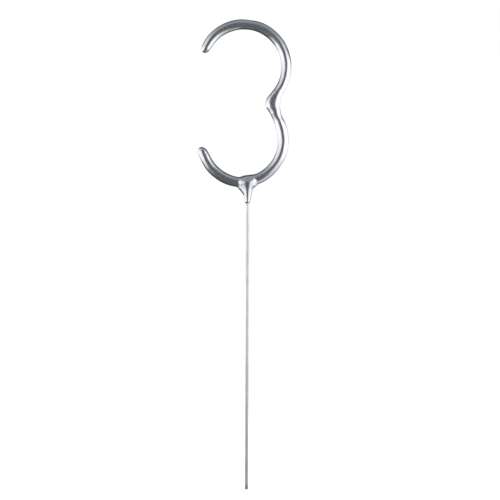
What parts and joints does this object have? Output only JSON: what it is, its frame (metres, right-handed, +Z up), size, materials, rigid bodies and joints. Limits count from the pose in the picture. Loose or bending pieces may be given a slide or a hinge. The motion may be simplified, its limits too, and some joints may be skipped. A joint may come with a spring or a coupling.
{
  "type": "number sparkler candle",
  "caption": "Sparkler shaped as the numeral 3: a silver-coated numeral of burning composition over bent wire, welded to a straight stem wire that pushes into a cake.",
  "frame": {"origin": "centre of the stem wire's square cut end", "axes": "+Z up along the stem to the numeral, +X to the right as the numeral is read, +Y away from the reader"},
  "size_m": [0.0346, 0.0046, 0.1751],
  "materials": {
    "steel_wire": "drawn low-carbon steel wire, dull, hidden under the coat",
    "stem_steel": "drawn low-carbon steel wire, satin, cut square at the foot",
    "weld_steel": "fused steel with heat scale",
    "composition": "dried, dipped mineral and metal powder with binder, matt dark grey",
    "silver_coat": "dipped aluminium-pigment top coat, bright satin with a fine grain"
  },
  "bodies": {
    "root": {"numeral_wire": "steel_wire", "stem_wire": "stem_steel", "spot_weld": "weld_steel", "composition": "composition", "silver_coat": "silver_coat"}
  },
  "joints": []
}
